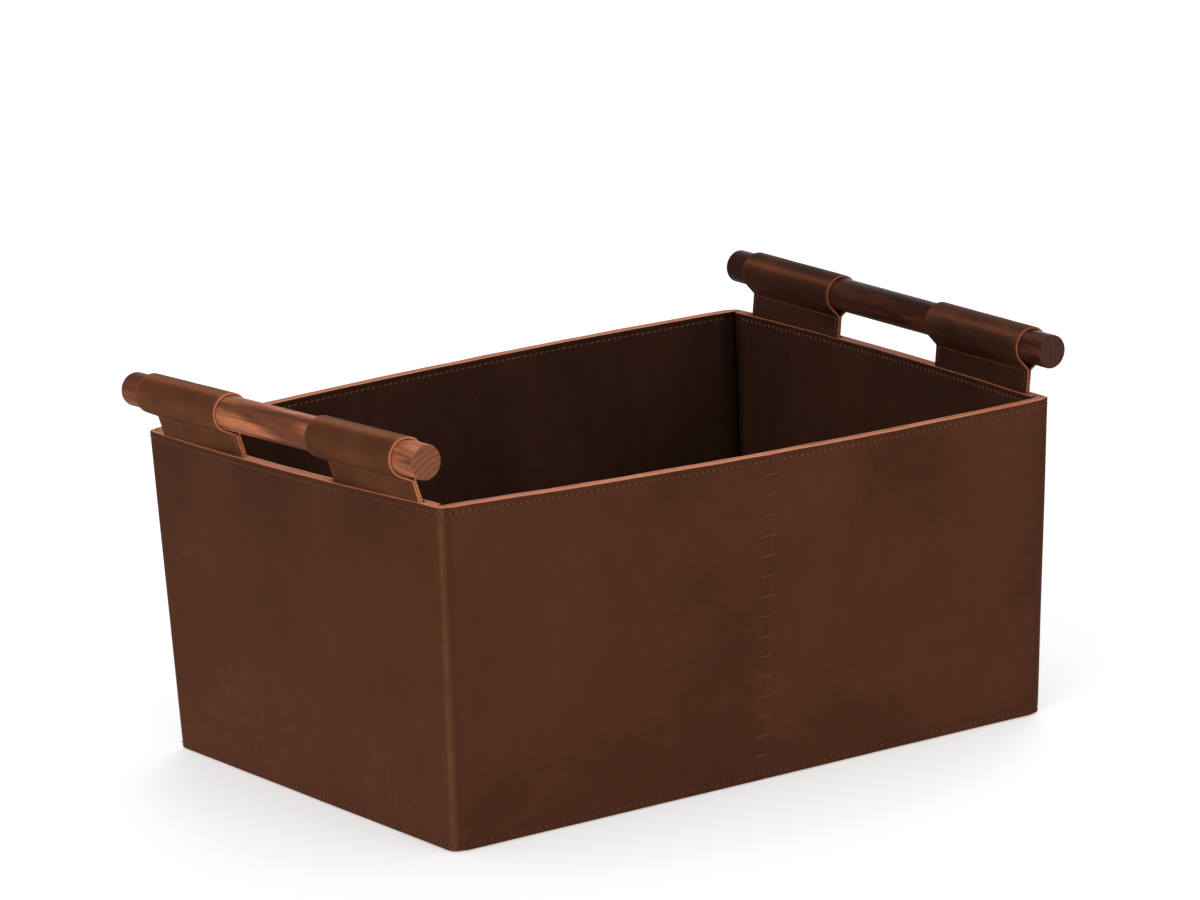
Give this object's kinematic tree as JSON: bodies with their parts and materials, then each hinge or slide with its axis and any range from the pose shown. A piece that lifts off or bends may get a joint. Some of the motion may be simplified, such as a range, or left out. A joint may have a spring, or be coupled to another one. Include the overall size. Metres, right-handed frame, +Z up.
{
  "type": "storage basket",
  "caption": "Open leather storage basket with tapering laminated walls and a wooden rod handle at each end, held in folded leather tabs that flex at the rim.",
  "frame": {"origin": "middle of the underside of the base leather, on the surface that the basket stands on", "axes": "+X along the long side, +Y towards the back long wall, +Z up out of the open top"},
  "size_m": [0.4843, 0.348, 0.2492],
  "materials": {
    "outer_leather": "oiled smooth",
    "lining_leather": "matte flesh side",
    "core_board": "bonded leather board",
    "tab_leather": "oiled smooth",
    "rod_wood": "oiled walnut"
  },
  "bodies": {
    "basket": {"outer_leather_left": "outer_leather", "outer_leather_right": "outer_leather", "front_core_board": "core_board", "back_core_board": "core_board", "left_core_board": "core_board", "right_core_board": "core_board", "front_lining": "lining_leather", "back_lining": "lining_leather", "left_lining": "lining_leather", "right_lining": "lining_leather", "base_leather": "outer_leather", "base_board": "core_board", "floor_lining": "lining_leather", "left_front_tab_tongue": "tab_leather", "left_back_tab_tongue": "tab_leather", "right_front_tab_tongue": "tab_leather", "right_back_tab_tongue": "tab_leather"},
    "left_handle": {"left_front_tab_loop": "tab_leather", "left_back_tab_loop": "tab_leather"},
    "left_grip": {"left_rod": "rod_wood"},
    "right_handle": {"right_front_tab_loop": "tab_leather", "right_back_tab_loop": "tab_leather"},
    "right_grip": {"right_rod": "rod_wood"}
  },
  "joints": [
    {"name": "left_handle_flex", "type": "hinge", "parent": "basket", "child": "left_handle", "pos_m": [-0.22474, 0, 0.2069], "axis": [0, -0.9997, 0.0257], "range_deg": [-25, 25], "stiffness_Nm_per_rad": 1},
    {"name": "left_rod_spin", "type": "hinge", "parent": "left_handle", "child": "left_grip", "pos_m": [-0.23204, 0.00065, 0.23236], "axis": [0, 0.9997, -0.0257], "continuous": true},
    {"name": "right_handle_flex", "type": "hinge", "parent": "basket", "child": "right_handle", "pos_m": [0.22474, 0, 0.2069], "axis": [0, 0.9997, 0.0257], "range_deg": [-25, 25], "stiffness_Nm_per_rad": 1},
    {"name": "right_rod_spin", "type": "hinge", "parent": "right_handle", "child": "right_grip", "pos_m": [0.22751, -0.00068, 0.23325], "axis": [0, 0.9997, 0.0257], "continuous": true}
  ]
}
